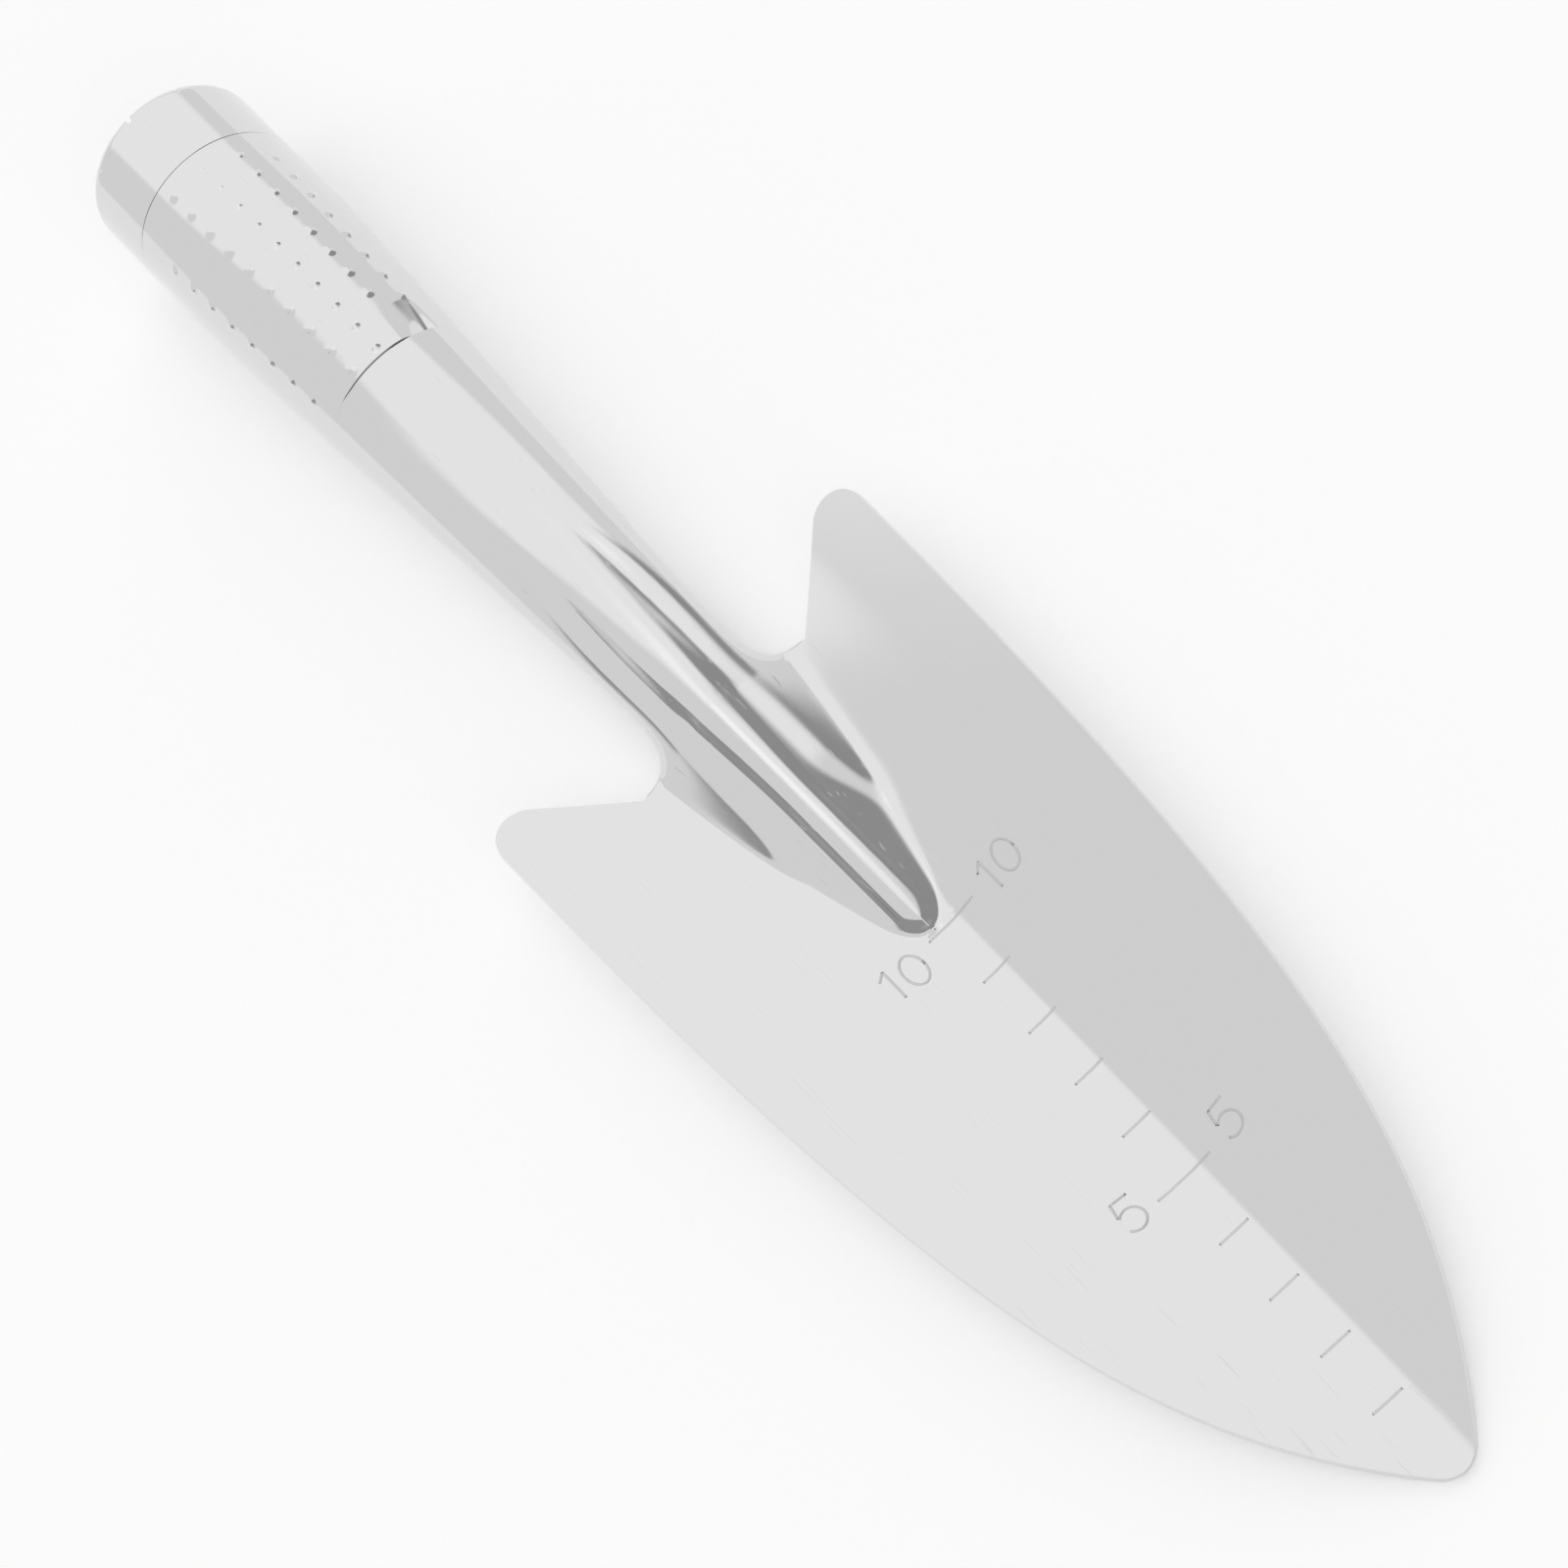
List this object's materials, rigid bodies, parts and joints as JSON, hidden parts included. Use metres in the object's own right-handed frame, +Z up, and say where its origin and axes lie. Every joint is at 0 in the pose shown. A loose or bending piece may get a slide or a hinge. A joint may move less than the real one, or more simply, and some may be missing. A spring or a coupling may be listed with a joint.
{
  "type": "hand transplanter",
  "caption": "Narrow pointed garden scoop with swept-back ears, pressed from one sheet of polished steel with a rolled, dimpled handle.",
  "frame": {"origin": "centre of the tool's length and width, on the surface that it lies on", "axes": "+X from the handle to the tip, +Y across the blade, +Z up out of the scoop"},
  "size_m": [0.2858, 0.071, 0.0299],
  "materials": {
    "polished_stainless": "mirror-polished stainless steel with fine handling scratches"
  },
  "bodies": {
    "root": {"blade": "polished_stainless", "blade_tongue": "polished_stainless", "neck": "polished_stainless", "grip": "polished_stainless", "end_band": "polished_stainless", "end_tab_1": "polished_stainless", "end_tab_2": "polished_stainless", "end_tab_3": "polished_stainless", "end_tab_4": "polished_stainless", "end_tab_5": "polished_stainless", "end_tab_6": "polished_stainless", "end_tab_7": "polished_stainless", "end_tab_8": "polished_stainless", "end_tab_9": "polished_stainless", "end_tab_10": "polished_stainless"}
  },
  "joints": []
}
